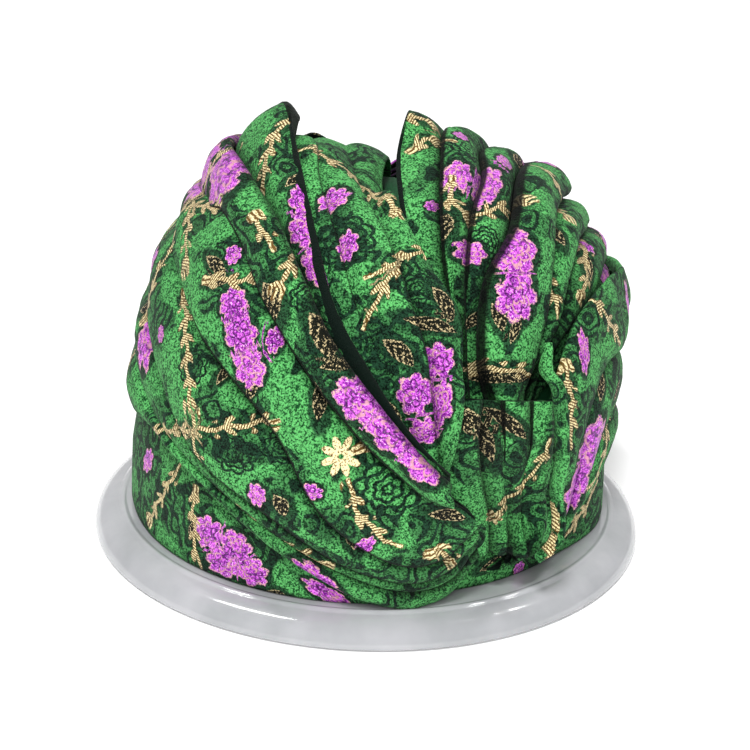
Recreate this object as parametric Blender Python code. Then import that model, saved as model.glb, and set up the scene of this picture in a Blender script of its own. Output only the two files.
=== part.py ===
"""A draped brocade turban on a round display stand.

The turban is built from the inside out: a fitted cap, a band round the hem, and drapes laid over
them one after another. A place on the turban is given from the middle of the head: its turn to
the side in degrees (0 at the front, positive to the right), its climb above the level in degrees,
and its reach from the middle in mm.
"""

import math
from collections import namedtuple

import bmesh
import bpy
from mathutils import Vector
from mathutils.bvhtree import BVHTree

MM = 0.001

# Driving sizes in mm
STAND_WIDTH = 216.0
STAND_HEIGHT = 11.0
STAND_SEAT_WIDTH = 188.0
STAND_OPENING = 158.0
STAND_EDGE = 1.6
STAND_WALL = 3.0
STAND_FOOT = 5.0
HEM_WIDTH = 187.0
HEM_HEIGHT = 48.0
HEM_LEAN = 4.6
HEM_ROUNDING = 0.6
CLOTH_WALL = 2.6
CAP_WALL = 2.0
CLEARANCE = 0.5
LAYER_GAP = 0.9
PLEAT_ROUNDNESS = 2.2
HEAD_MIDDLE = 60.0

# How finely the round pieces and the drapes are divided
STAND_SIDES = 64
RIM_STEPS = 6
HEM_SIDES = 56
CAP_SIDES = 36
LINE_STEPS = 12
PLEAT_PARTS = (0.04, 0.4, 0.75, 0.96)
ROLL_SIDES = 8
ROLL_LENGTHS = 13

# Where the search for the pieces beneath a drape starts, in mm, and its points along a face
FAR_REACH = 250.0
FACE_PROBES = 8

Fold = namedtuple("Fold", "steps stations")

# Reach of the fitted cap, in mm, at each climb in degrees: its side, and the crown sewn to it
CAP_SIDE_PROFILE = [
    (-25, 94.0),
    (-12, 87.0),
    (0, 84.6),
    (15, 84.2),
]
CAP_CROWN_PROFILE = [
    (15.4, 84.2),
    (22, 84.1),
    (30, 84.0),
    (45, 82.5),
    (60, 80.5),
    (75, 78.5),
    (90, 78.0),
]

# In the tables below a row is one fold line. Its steps say how far the cloth on its near side
# stands above the cloth on its far side, in mm, where the line starts and where it ends. Its
# stations follow the line: turn in degrees, climb in degrees, reach in mm.

# Pleats of the right lobe, from the rolled edge at the notch to the right side
RIGHT_WING_FOLDS = [
    Fold((0, 0), [(170, 50, 91), (158, 68, 93), (70, 84, 110), (18, 77, 100), (11, 63, 97),
                  (11, 49, 95), (14, 36, 93), (17, 20, 91)]),
    Fold((-3, -1), [(169, 45, 92), (140, 62, 97), (84, 76, 106), (38, 68, 104), (25, 56, 101),
                    (22, 46, 98), (22, 30, 95), (21, 18, 92)]),
    Fold((-5, -2), [(168, 40, 93), (128, 55, 100), (88, 67, 106), (54, 62, 106), (35, 54, 103),
                    (27, 43, 100), (24, 29, 96), (25, 17, 92)]),
    Fold((-5, -6), [(167, 35, 94), (122, 48, 102), (92, 57, 107), (68, 57, 107), (44, 48, 104),
                    (31, 40, 101), (27, 28, 97), (29, 16, 93)]),
    Fold((4, 7), [(166, 30, 94), (118, 41, 102), (92, 49, 107), (68, 50, 106), (53, 45, 104),
                  (44, 35, 101), (38, 24, 97), (33, 15, 92)]),
    Fold((4, 4), [(166, 25, 94), (116, 34, 101), (92, 40, 105), (70, 42, 104), (56, 37, 103),
                  (48, 29, 100), (42, 22, 97), (37, 14, 93)]),
    Fold((4, 3), [(166, 19, 94), (114, 26, 98), (92, 32, 102), (78, 33, 102), (64, 31, 100),
                  (52, 27, 98), (45, 21, 95), (40, 13, 92)]),
    Fold((0, 0), [(166, 12, 94), (112, 17, 95), (92, 21, 95), (78, 23, 95), (64, 23, 94),
                  (54, 20, 93), (47, 16, 92), (43, 12, 91)]),
]

# Folds round the right side, from the flap at their upper edge down to the hem band
RIGHT_FOLDS = [
    Fold((0, 0), [(166, 20, 96), (118, 22, 99), (90, 25, 101), (72, 29, 103), (56, 28, 103),
                  (48, 20, 102), (45, 11, 101), (45, 2, 101), (43, -6, 101), (40, -12, 102),
                  (37, -16, 103)]),
    Fold((4, 4), [(166, 9, 95), (118, 11, 96), (90, 14, 98), (72, 17, 99), (60, 16, 100),
                  (54, 9, 100), (52, 1, 100), (50, -6, 101), (47, -12, 102), (42, -16, 102),
                  (37, -18, 103)]),
    Fold((4, 4), [(166, -1, 95), (118, 0, 95), (90, 3, 95), (74, 5, 97), (64, 3, 98),
                  (59, -3, 99), (55, -8, 100), (50, -12, 101), (46, -15, 102), (41, -18, 103),
                  (36, -20, 103)]),
    Fold((0, 0), [(166, -11, 96), (118, -10, 95), (90, -8, 95), (76, -7, 95), (66, -8, 96),
                  (60, -11, 98), (54, -14, 99), (48, -16, 101), (43, -18, 103), (38, -20, 103),
                  (33, -22, 104)]),
]

# Lower right panel, from the slit to the standing fold; its top edge hangs away from the pocket
FAN_FOLDS = [
    Fold((0, 0), [(15, 18, 94), (13, 11, 95), (13, 4, 95), (16, -3, 97), (20, -9, 99),
                  (24, -16, 102)]),
    Fold((3, 2), [(22, 18, 101), (21, 10, 102), (22, 2, 103), (24, -5, 103), (26, -11, 103),
                  (28, -17, 104)]),
    Fold((-2, 3), [(30, 18, 103), (30, 10, 105), (30, 2, 105), (31, -5, 104), (32, -11, 104),
                   (33, -17, 104)]),
    Fold((-2, 2), [(37, 18, 102), (37, 10, 103), (37, 2, 103), (37, -5, 103), (36, -11, 103),
                   (35, -16, 104)]),
    Fold((0, 0), [(42, 16, 101), (43, 9, 101), (43, 2, 101), (42, -5, 102), (40, -10, 103),
                  (37, -15, 104)]),
]

# The broad fold in the middle, from the left drape to its free right edge
CENTRE_FOLDS = [
    Fold((0, 0), [(-66, 67, 104), (-42, 61, 101), (-25, 49, 97), (-14, 35, 96), (-4, 23, 96),
                  (5, 13, 96), (11, 4, 97)]),
    Fold((2, 0), [(-50, 73, 104), (-28, 64, 103), (-12, 50, 101), (-4, 36, 101), (3, 25, 101),
                  (8, 14, 100), (12, 4, 99)]),
    Fold((0, 2), [(-20, 79, 95), (-5, 66, 99), (4, 50, 103), (8, 38, 104), (11, 27, 104),
                  (12, 15, 103), (13, 4, 100)]),
    Fold((0, 0), [(14, 79, 92), (12, 65, 96), (13, 53, 100), (17, 42, 102), (20, 33, 103),
                  (18, 18, 103), (15, 4, 100)]),
]

# Pleats of the left lobe, from the hem up to the centre panel, each running from the back over
# the left side, down and round under the middle, to the slit
LEFT_FOLDS = [
    Fold((0, 0), [(-166, -10, 96), (-120, -6, 94), (-74, 0, 93), (-53, 0, 96), (-36, -5, 100),
                  (-20, -14, 103), (-4, -23, 105), (10, -27, 106), (19, -25, 105), (24, -16, 103)]),
    Fold((3, -3), [(-166, 1, 96), (-120, 5, 94), (-76, 12, 93), (-54, 4, 96), (-35, -3, 100),
                   (-20, -10, 103), (-4, -18, 105), (9, -22, 106), (18, -20, 105), (23, -13, 103)]),
    Fold((4, -6), [(-166, 11, 96), (-120, 16, 95), (-80, 24, 94), (-56, 16, 97), (-37, 3, 101),
                   (-20, -5, 103), (-5, -14, 105), (8, -18, 106), (17, -16, 105), (22, -9, 103)]),
    Fold((5, -7), [(-166, 21, 96), (-121, 31, 98), (-84, 40, 100), (-62, 36, 102), (-38, 25, 102),
                   (-18, 12, 103), (-8, -3, 104), (5, -12, 106), (15, -12, 105), (21, -5, 103)]),
    Fold((5, -5), [(-166, 30, 96), (-123, 42, 100), (-86, 49, 103), (-54, 50, 106), (-38, 45, 105),
                   (-25, 35, 104), (-12, 23, 103), (-1, 12, 103), (8, 4, 103), (15, 0, 102)]),
    Fold((6, 3), [(-166, 38, 96), (-126, 51, 103), (-90, 58, 111), (-54, 57, 110), (-32, 50, 106),
                  (-20, 41, 105), (-9, 28, 104), (1, 17, 104), (8, 9, 104), (14, 3, 103)]),
    Fold((0, 0), [(-166, 46, 95), (-130, 60, 104), (-87, 72, 118), (-38, 65, 111), (-18, 50, 106),
                  (-9, 36, 105), (-1, 25, 104), (6, 15, 104), (11, 9, 104), (15, 5, 103)]),
]

# Plain upright panel at the back that covers the ends of the drapes, from its hem to its top
BACK_FOLDS = [
    Fold((0, 0), [(148, -17, 99), (147, 0, 98), (147, 20, 98), (149, 36, 97), (155, 49, 94)]),
    Fold((3, 3), [(159, -19, 101), (158, 0, 101), (158, 20, 101), (160, 36, 100), (166, 50, 95)]),
    Fold((3, 3), [(172, -20, 102), (172, 0, 102), (172, 20, 102), (173, 37, 100), (176, 51, 96)]),
    Fold((-3, -3), [(188, -20, 102), (188, 0, 102), (188, 20, 102), (187, 37, 100), (185, 51, 96)]),
    Fold((-3, -3), [(201, -19, 101), (202, 0, 101), (202, 20, 101), (200, 36, 100),
                    (194, 50, 95)]),
    Fold((0, 0), [(212, -17, 99), (213, 0, 98), (213, 20, 98), (211, 36, 97), (205, 49, 94)]),
]

# The narrow fold that stands up between the fan panel and the right drape
STANDING_FOLD = [
    (47, 24, 103),
    (43, 18, 105),
    (43, 10, 106),
    (45, 3, 106),
    (44, -4, 106),
    (42, -10, 106),
    (37, -16, 107),
]
STANDING_FOLD_WIDTH = 4.4
STANDING_FOLD_HEIGHT = 8.0
STANDING_FOLD_END = 0.55


def remove_all_objects():
    for old in list(bpy.data.objects):
        bpy.data.objects.remove(old, do_unlink=True)


def make_material(name, colour, roughness):
    material = bpy.data.materials.new(name)
    material.use_nodes = True
    shader = material.node_tree.nodes["Principled BSDF"]
    shader.inputs["Base Color"].default_value = (*colour, 1.0)
    shader.inputs["Roughness"].default_value = roughness
    shader.inputs["Metallic"].default_value = 0.0
    return material


def direction(turn, climb):
    turn, climb = math.radians(turn), math.radians(climb)
    level = math.cos(climb)
    return Vector((math.sin(turn) * level, -math.cos(turn) * level, math.sin(climb)))


def place(turn, climb, reach):
    """A point in mm, measured from the middle of the head."""
    return direction(turn, climb) * reach


def mesh_object(name, points, faces, material):
    """An object from points in mm about the middle of the head, with its faces turned outward."""
    middle = Vector((0.0, 0.0, HEAD_MIDDLE))
    mesh = bpy.data.meshes.new(name)
    mesh.from_pydata([(point + middle) * MM for point in points], [], faces)
    shape = bmesh.new()
    shape.from_mesh(mesh)
    bmesh.ops.recalc_face_normals(shape, faces=shape.faces)
    if shape.calc_volume(signed=True) < 0:
        bmesh.ops.reverse_faces(shape, faces=shape.faces)
    shape.to_mesh(mesh)
    shape.free()
    mesh.shade_smooth()
    mesh.set_sharp_from_angle(angle=math.radians(40))
    mesh.materials.append(material)
    thing = bpy.data.objects.new(name, mesh)
    bpy.context.scene.collection.objects.link(thing)
    return thing


def turned(name, profile, sides, material):
    """A ring turned about the vertical axis from a closed profile of radius and height."""
    points = []
    for side in range(sides):
        angle = 2 * math.pi * side / sides
        for radius, height in profile:
            points.append(Vector((radius * math.sin(angle), -radius * math.cos(angle),
                                  height - HEAD_MIDDLE)))
    count = len(profile)
    faces = []
    for side in range(sides):
        here, there = side * count, (side + 1) % sides * count
        for index in range(count):
            after = (index + 1) % count
            faces.append((here + index, here + after, there + after, there + index))
    return mesh_object(name, points, faces, material)


def smooth_line(stations, count):
    """Points spaced evenly along a smooth curve through the stations."""
    knots = [place(*station) for station in stations]
    knots = [knots[0] * 2 - knots[1]] + knots + [knots[-1] * 2 - knots[-2]]
    fine = []
    for index in range(1, len(knots) - 2):
        before, start, end, after = knots[index - 1:index + 3]
        for part in range(LINE_STEPS):
            t = part / LINE_STEPS
            fine.append(0.5 * (2 * start + (end - before) * t
                               + (2 * before - 5 * start + 4 * end - after) * t * t
                               + (3 * start - before - 3 * end + after) * t ** 3))
    fine.append(knots[-2])
    lengths = [0.0]
    for first, second in zip(fine, fine[1:]):
        lengths.append(lengths[-1] + (second - first).length)
    line = []
    index = 0
    for step in range(count):
        wanted = lengths[-1] * step / (count - 1)
        while index < len(fine) - 2 and lengths[index + 1] < wanted:
            index += 1
        share = (wanted - lengths[index]) / (lengths[index + 1] - lengths[index])
        line.append(fine[index].lerp(fine[index + 1], min(share, 1.0)))
    return line


def pleated_surface(folds, along):
    """Rows of points across the folds: each pleat rises between its two fold lines."""
    lines = [smooth_line(fold.stations, along) for fold in folds]
    rows = []
    for step in range(along):
        progress = step / (along - 1)
        row = []
        for index in range(len(lines) - 1):
            near, far = lines[index][step], lines[index + 1][step]
            near_step = folds[index].steps[0] * (1 - progress) + folds[index].steps[1] * progress
            far_steps = folds[index + 1].steps
            far_step = far_steps[0] * (1 - progress) + far_steps[1] * progress
            for part in PLEAT_PARTS:
                reach = near.length * (1 - part) + far.length * part
                reach -= near_step / 2 * (1 - part)
                reach += far_step / 2 * part
                reach += PLEAT_ROUNDNESS * 4 * part * (1 - part)
                row.append(near.lerp(far, part).normalized() * reach)
        rows.append(row)
    return rows


def outermost(tree, way):
    """How far the pieces laid so far reach in one direction, in mm."""
    start = (way * FAR_REACH + Vector((0.0, 0.0, HEAD_MIDDLE))) * MM
    distance = tree.ray_cast(start, -way)[3]
    if distance is None:
        return 0.0
    return FAR_REACH - distance / MM


def tree_of(things):
    points = []
    faces = []
    for thing in things:
        first = len(points)
        points.extend(vertex.co.copy() for vertex in thing.data.vertices)
        faces.extend([first + index for index in face.vertices] for face in thing.data.polygons)
    return BVHTree.FromPolygons(points, faces)


def floor_under(rows, things):
    """The least reach at each point at which its faces clear the pieces beneath them."""
    tree = tree_of(things)
    height, width = len(rows), len(rows[0])
    floors = [[0.0] * width for _ in range(height)]
    shares = [step / (FACE_PROBES - 1) for step in range(FACE_PROBES)]
    for r in range(height - 1):
        for c in range(width - 1):
            highest = 0.0
            for down in shares:
                left = rows[r][c].lerp(rows[r + 1][c], down)
                right = rows[r][c + 1].lerp(rows[r + 1][c + 1], down)
                for over in shares:
                    highest = max(highest, outermost(tree, left.lerp(right, over).normalized()))
            for row in (r, r + 1):
                for column in (c, c + 1):
                    floors[row][column] = max(floors[row][column], highest + LAYER_GAP)
    return floors


def laid_cloth(name, rows, beneath, material):
    """A closed sheet of cloth that lies over the pieces beneath it."""
    floors = floor_under(rows, beneath)
    height, width = len(rows), len(rows[0])
    outer = []
    inner = []
    for r in range(height):
        for c in range(width):
            way = rows[r][c].normalized()
            floor = floors[r][c]
            reach = max(rows[r][c].length, floor + CLOTH_WALL)
            outer.append(way * reach)
            inner.append(way * max(reach - CLOTH_WALL, floor))
    points = outer + inner
    shift = len(outer)
    faces = []
    for r in range(height - 1):
        for c in range(width - 1):
            corner = r * width + c
            faces.append((corner, corner + 1, corner + width + 1, corner + width))
            low = corner + shift
            faces.append((low, low + width, low + width + 1, low + 1))
    border = [c for c in range(width)]
    border += [r * width + width - 1 for r in range(1, height)]
    border += [(height - 1) * width + c for c in range(width - 2, -1, -1)]
    border += [r * width for r in range(height - 2, 0, -1)]
    for first, second in zip(border, border[1:] + border[:1]):
        faces.append((second, first, first + shift, second + shift))
    return mesh_object(name, points, faces, material)


def display_stand(material):
    """A round dish with a convex rim, open in the middle, with a flat foot and a flat seat."""
    outer = STAND_WIDTH / 2
    seat = STAND_SEAT_WIDTH / 2
    opening = STAND_OPENING / 2
    rim = []
    for step in range(RIM_STEPS + 1):
        angle = math.radians(90 * step / RIM_STEPS)
        rim.append((seat + (outer - seat) * math.cos(angle),
                    STAND_EDGE + (STAND_HEIGHT - STAND_EDGE) * math.sin(angle)))
    ceiling = STAND_HEIGHT - STAND_WALL
    under = [
        (opening, STAND_HEIGHT),
        (opening, ceiling),
        (seat - STAND_EDGE, ceiling),
        (outer - STAND_FOOT - STAND_EDGE, ceiling / 2),
        (outer - STAND_FOOT, 0.0),
        (outer, 0.0),
    ]
    return turned("display_stand", rim + under, STAND_SIDES, material)


def cap_side(material):
    """The upright side of the fitted cap, open below and above."""
    profile = []
    for wall in (0.0, CAP_WALL):
        edge = [(math.radians(climb), reach - wall) for climb, reach in CAP_SIDE_PROFILE]
        edge = [(reach * math.cos(climb), HEAD_MIDDLE + reach * math.sin(climb))
                for climb, reach in edge]
        profile += edge if wall == 0.0 else edge[::-1]
    return turned("cap_side", profile, CAP_SIDES, material)


def cap_crown(material):
    """A dome of cloth on the side of the cap, which the drapes are sewn to."""
    sides = CAP_SIDES
    lower = []
    for wall in (0.0, CAP_WALL):
        for climb, reach in CAP_CROWN_PROFILE[:-1]:
            for side in range(sides):
                lower.append(place(360 * side / sides, climb, reach - wall))
    rings = len(CAP_CROWN_PROFILE) - 1
    crown = CAP_CROWN_PROFILE[-1][1]
    points = lower + [place(0, 90, crown), place(0, 90, crown - CAP_WALL)]
    faces = []
    for layer in range(2):
        base = layer * rings * sides
        for ring in range(rings - 1):
            for side in range(sides):
                here, there = side, (side + 1) % sides
                low, high = base + ring * sides, base + (ring + 1) * sides
                faces.append((low + here, low + there, high + there, high + here))
        last = base + (rings - 1) * sides
        for side in range(sides):
            faces.append((last + side, last + (side + 1) % sides, len(lower) + layer))
    for side in range(sides):
        there = (side + 1) % sides
        faces.append((side, there, rings * sides + there, rings * sides + side))
    return mesh_object("cap_crown", points, faces, material)


def hem_band(material):
    """The band round the lower edge, resting on the stand."""
    radius = HEM_WIDTH / 2
    rolled = radius - HEM_ROUNDING
    leaning = radius - HEM_LEAN
    low = STAND_HEIGHT + CLEARANCE
    middle = low + HEM_HEIGHT / 2
    high = low + HEM_HEIGHT
    profile = [
        (rolled, low),
        (radius, low + CLOTH_WALL),
        (rolled, middle),
        (leaning, high),
        (leaning - CLOTH_WALL, high),
        (rolled - CLOTH_WALL, middle),
        (rolled - CLOTH_WALL, low),
    ]
    return turned("hem_band", profile, HEM_SIDES, material)


def drape(name, folds, along, beneath, material):
    return laid_cloth(name, pleated_surface(folds, along), beneath, material)


def standing_fold(beneath, material):
    """A narrow upright roll of cloth laid along its line, thinner at both ends."""
    line = smooth_line(STANDING_FOLD, ROLL_LENGTHS)
    tree = tree_of(beneath)
    points = []
    for index, point in enumerate(line):
        ahead = line[min(index + 1, ROLL_LENGTHS - 1)] - line[max(index - 1, 0)]
        way = point.normalized()
        across = way.cross(ahead.normalized()).normalized()
        size = STANDING_FOLD_END if index in (0, ROLL_LENGTHS - 1) else 1.0
        spread = STANDING_FOLD_WIDTH / 2 * size
        rise = STANDING_FOLD_HEIGHT / 2 * size
        floor = 0.0
        for side in (-1.2, -0.6, 0.0, 0.6, 1.2):
            for share in (-0.25, 0.0, 0.25):
                probe = point + across * spread * side + ahead * share
                floor = max(floor, outermost(tree, probe.normalized()))
        middle = floor + LAYER_GAP + rise
        for side in range(ROLL_SIDES):
            angle = 2 * math.pi * side / ROLL_SIDES
            points.append(way * (middle + rise * math.sin(angle))
                          + across * spread * math.cos(angle))
    faces = []
    for ring in range(ROLL_LENGTHS - 1):
        for side in range(ROLL_SIDES):
            here, there = ring * ROLL_SIDES, (ring + 1) * ROLL_SIDES
            after = (side + 1) % ROLL_SIDES
            faces.append((here + side, here + after, there + after, there + side))
    last = (ROLL_LENGTHS - 1) * ROLL_SIDES
    faces.append(tuple(range(ROLL_SIDES)))
    faces.append(tuple(last + side for side in reversed(range(ROLL_SIDES))))
    return mesh_object("standing_fold", points, faces, material)


def build():
    remove_all_objects()
    white = make_material("opal_white", (0.86, 0.87, 0.88), 0.12)
    green = make_material("green_brocade", (0.035, 0.19, 0.075), 0.6)
    dark = make_material("plain_green_cloth", (0.02, 0.10, 0.045), 0.75)
    display_stand(white)
    laid = [cap_side(dark), cap_crown(dark), hem_band(green)]
    laid.append(drape("right_wing", RIGHT_WING_FOLDS, 15, laid, green))
    laid.append(drape("right_drape", RIGHT_FOLDS, 16, laid, green))
    laid.append(drape("fan_panel", FAN_FOLDS, 9, laid, green))
    laid.append(drape("centre_panel", CENTRE_FOLDS, 12, laid, green))
    laid.append(drape("left_drape", LEFT_FOLDS, 23, laid, green))
    laid.append(drape("back_panel", BACK_FOLDS, 8, laid, green))
    standing_fold(laid, green)


build()
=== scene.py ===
"""The looks of a draped brocade turban on a round display stand.

The cloth is laid from the inside out, in the order in which the turban is put together. A place on
the turban is given from the middle of the head: its turn to the side in degrees (0 at the front,
positive to the right), its climb above the level in degrees, and its reach from the middle in mm.
"""

import math
from collections import namedtuple

import bpy
import numpy as np
from mathutils import Matrix, Vector


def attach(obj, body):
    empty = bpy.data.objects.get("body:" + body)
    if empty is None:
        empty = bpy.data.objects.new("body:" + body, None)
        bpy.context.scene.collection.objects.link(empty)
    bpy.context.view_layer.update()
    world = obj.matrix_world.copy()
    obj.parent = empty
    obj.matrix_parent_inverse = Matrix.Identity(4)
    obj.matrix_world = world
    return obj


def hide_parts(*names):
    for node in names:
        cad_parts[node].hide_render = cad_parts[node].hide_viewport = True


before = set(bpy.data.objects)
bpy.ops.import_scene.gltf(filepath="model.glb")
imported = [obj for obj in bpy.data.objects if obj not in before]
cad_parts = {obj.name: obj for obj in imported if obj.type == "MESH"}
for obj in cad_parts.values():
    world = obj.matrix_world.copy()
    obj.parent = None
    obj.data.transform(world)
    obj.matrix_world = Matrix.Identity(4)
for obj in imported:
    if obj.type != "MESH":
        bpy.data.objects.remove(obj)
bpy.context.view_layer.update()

# The display stand: one moulding of opal white plastic, a round dish with a convex rim that is
# polished all over, open in the middle. It carries the turban's hem on its flat seat.

MM = 0.001
HEAD = np.array([0.0, 0.0, 60.0])


def new_material(name, finish):
    """A material, its node tree and its shader, with the finish set on the shader's sockets."""
    material = bpy.data.materials.new(name)
    material.use_nodes = True
    shader = material.node_tree.nodes["Principled BSDF"]
    for socket, value in finish.items():
        shader.inputs[socket].default_value = value
    return material, material.node_tree, shader


def add_node(tree, kind, **settings):
    """A new node with its settings."""
    node = tree.nodes.new(kind)
    for key, value in settings.items():
        setattr(node, key, value)
    return node


def noise(tree, scale, detail=2.0, roughness=0.5):
    """Noise from 0 to 1 that is fixed to the object; scale counts its blobs to the metre."""
    node = add_node(tree, "ShaderNodeTexNoise")
    node.inputs["Scale"].default_value = scale
    node.inputs["Detail"].default_value = detail
    node.inputs["Roughness"].default_value = roughness
    coordinates = add_node(tree, "ShaderNodeTexCoord").outputs["Object"]
    tree.links.new(coordinates, node.inputs["Vector"])
    return node.outputs["Fac"]


def tinted(tree, shader, factor, dark, light):
    """Colours the surface between dark and light, over the middle of the factor's range."""
    tone = add_node(tree, "ShaderNodeValToRGB")
    low, high = tone.color_ramp.elements
    low.position, low.color = 0.3, (*dark, 1)
    high.position, high.color = 0.7, (*light, 1)
    tree.links.new(factor, tone.inputs["Fac"])
    tree.links.new(tone.outputs["Color"], shader.inputs["Base Color"])


def roughened(tree, shader, height, strength, depth):
    """Gives the surface the relief of a height from 0 to 1, up to depth in mm."""
    bump = add_node(tree, "ShaderNodeBump")
    bump.inputs["Strength"].default_value = strength
    bump.inputs["Distance"].default_value = depth * MM
    tree.links.new(height, bump.inputs["Height"])
    tree.links.new(bump.outputs["Normal"], shader.inputs["Normal"])


opal, tree, shader = new_material("opal_white_plastic", {
    "Roughness": 0.16, "Coat Weight": 0.6, "Coat Roughness": 0.06, "Subsurface Weight": 0.25,
    "Subsurface Radius": (1.0, 1.0, 1.0), "Subsurface Scale": 0.004})
tinted(tree, shader, noise(tree, 38.0, 4.0), (0.30, 0.31, 0.32), (0.41, 0.41, 0.43))
roughened(tree, shader, noise(tree, 90.0), 0.06, 0.4)


def mesh_object(name, points, faces, material, values=None):
    """An object from points in mm about the middle of the head, with values held by each point."""
    mesh = bpy.data.meshes.new(name)
    points = (np.asarray(points) + HEAD) * MM
    faces = np.asarray(faces, dtype=np.int32)
    count, corners = faces.shape
    mesh.vertices.add(len(points))
    mesh.vertices.foreach_set("co", points.astype(np.float32).ravel())
    mesh.loops.add(count * corners)
    mesh.loops.foreach_set("vertex_index", faces.ravel())
    mesh.polygons.add(count)
    mesh.polygons.foreach_set("loop_start", np.arange(0, count * corners, corners, dtype=np.int32))
    mesh.update(calc_edges=True)
    mesh.validate()
    mesh.shade_smooth()
    for key, value in (values or {}).items():
        layer = mesh.attributes.new(key, "FLOAT_VECTOR", "POINT")
        layer.data.foreach_set("vector", np.asarray(value, dtype=np.float32).ravel())
    mesh.materials.append(material)
    thing = bpy.data.objects.new(name, mesh)
    bpy.context.scene.collection.objects.link(thing)
    return thing


def grid_faces(rows, columns, closed=False):
    """Faces of a grid of points; a closed grid runs on from its last column to its first."""
    r = np.arange(rows - 1)[:, None]
    c = np.arange(columns if closed else columns - 1)[None, :]
    after = (c + 1) % columns
    return np.stack([r * columns + c, r * columns + after, (r + 1) * columns + after,
                     (r + 1) * columns + c], -1).reshape(-1, 4)


def stand_dish():
    """The dish turned about its axis, with a thin raised lip just outside the hem."""
    seat_radius, rim_width = 94.0, 14.0
    rim_foot, rim_rise = 1.6, 9.4
    lip_radius, lip_half_width, lip_height = 97.0, 1.8, 0.6
    sides = 192
    profile = [(79.0, 8.0), (79.0, 11.0), (86.0, 11.0)]
    for angle in np.radians(np.linspace(90, 0, 61)):
        radius = seat_radius + rim_width * math.cos(angle)
        off = (radius - lip_radius) / lip_half_width
        lip = max(0.0, 1.0 - off ** 2) ** 2 * lip_height
        profile.append((radius, rim_foot + rim_rise * math.sin(angle) + lip))
    profile += [(107.7, 1.1), (106.8, 0.9), (104.2, 0.9), (103.2, 0.0), (101.4, 4.0), (92.4, 8.0)]
    turns = np.arange(sides) * 2 * math.pi / sides
    points = [np.stack([radius * np.sin(turns), -radius * np.cos(turns),
                        np.full(sides, height - HEAD[2])], -1) for radius, height in profile]
    points = np.concatenate(points)
    faces = grid_faces(len(profile) + 1, sides, closed=True) % len(points)
    return mesh_object("stand_dish", points, faces[:, ::-1], opal)


dish = stand_dish()
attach(dish, "root")
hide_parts("display_stand")

# The fitted cap: a dome of plain green crepe that the drapes are sewn to. It shows from below,
# through the open stand, and as a narrow strip in the notch between the two lobes.

crepe, tree, shader = new_material("plain_green_crepe", {"Roughness": 0.75})
grain = noise(tree, 1500.0, 3.0)
tinted(tree, shader, grain, (0.008, 0.05, 0.018), (0.02, 0.12, 0.045))
roughened(tree, shader, grain, 0.4, 0.3)

# The cap's climb in degrees and reach in mm, from its lower edge to the crown
CAP_PROFILE = [(-25, 94.0), (-12, 87.0), (0, 84.6), (15, 84.2), (30, 84.0), (45, 82.5),
               (60, 80.5), (75, 78.5), (90, 78.0)]
CAP_WALL = 1.6


def ways(turn, climb):
    """Directions from the middle of the head, from angles in degrees."""
    turn, climb = np.radians(turn), np.radians(climb)
    level = np.cos(climb)
    return np.stack(np.broadcast_arrays(np.sin(turn) * level, -np.cos(turn) * level,
                                        np.sin(climb)), -1)


def lengths(vectors):
    """The length of each vector in an array."""
    return np.linalg.norm(vectors, axis=-1)


# How far the pieces laid so far reach, in mm, on a round map of directions about the crown
MAP_CELLS = 161
MAP_SPAN = 125.0
cover = np.zeros((MAP_CELLS, MAP_CELLS))


def on_map(points):
    """Where points fall on the map, in cells."""
    reach = np.maximum(lengths(points), 1e-6)
    fall = np.degrees(np.arccos(np.clip(points[..., 2] / reach, -1, 1)))
    turn = np.arctan2(points[..., 0], -points[..., 1])
    half = (MAP_CELLS - 1) / 2
    scale = half / MAP_SPAN
    return (np.clip(half + fall * np.sin(turn) * scale, 0, MAP_CELLS - 1),
            np.clip(half + fall * np.cos(turn) * scale, 0, MAP_CELLS - 1))


def add_to_cover(points):
    """Raises the map to cloth that has been laid."""
    x, y = on_map(points)
    np.maximum.at(cover, (np.rint(x).astype(int), np.rint(y).astype(int)), lengths(points))


def fitted_cap():
    sides = 96
    climbs = np.linspace(-25, 90, 61)
    reaches = np.interp(climbs, *zip(*CAP_PROFILE))
    reaches = np.convolve(np.pad(reaches, 2, mode="edge"), np.ones(5) / 5, "valid")
    turns = np.arange(sides) * 360 / sides
    outer = [ways(turns, climb) * reach for climb, reach in zip(climbs[:-1], reaches)]
    inner = [ways(turns, climb) * (reach - CAP_WALL) for climb, reach in zip(climbs[:-1], reaches)]
    rows = np.array(inner[::-1] + outer)
    faces = grid_faces(len(rows), sides, closed=True)
    add_to_cover(np.array(outer))
    return mesh_object("cap_dome", rows.reshape(-1, 3), faces[:, ::-1], crepe)


cap = fitted_cap()
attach(cap, "root")
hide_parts("cap_side", "cap_crown")

# The hem band: the lower edge of the turban, one strip of the brocade stretched round the cap. The
# drapes hide most of it, and it shows at the lower left and the lower right. The brocade is a green
# crepe with figures woven in dark thread, leaves, sprays in gold thread and blossoms in purple lurex.

# The spacing of the points of all the cloth, in mm
CELL = 1.22


def math_of(tree, operation, *values):
    """A Math node whose inputs are sockets or plain numbers."""
    node = add_node(tree, "ShaderNodeMath", operation=operation)
    for socket, value in zip(node.inputs, values):
        if isinstance(value, (int, float)):
            socket.default_value = value
        else:
            tree.links.new(value, socket)
    return node.outputs[0]


def vector_parts(tree, name):
    """The three numbers that each point holds under a name."""
    layer = add_node(tree, "ShaderNodeAttribute", attribute_name=name)
    split = add_node(tree, "ShaderNodeSeparateXYZ")
    tree.links.new(layer.outputs["Vector"], split.inputs[0])
    return split.outputs


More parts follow.
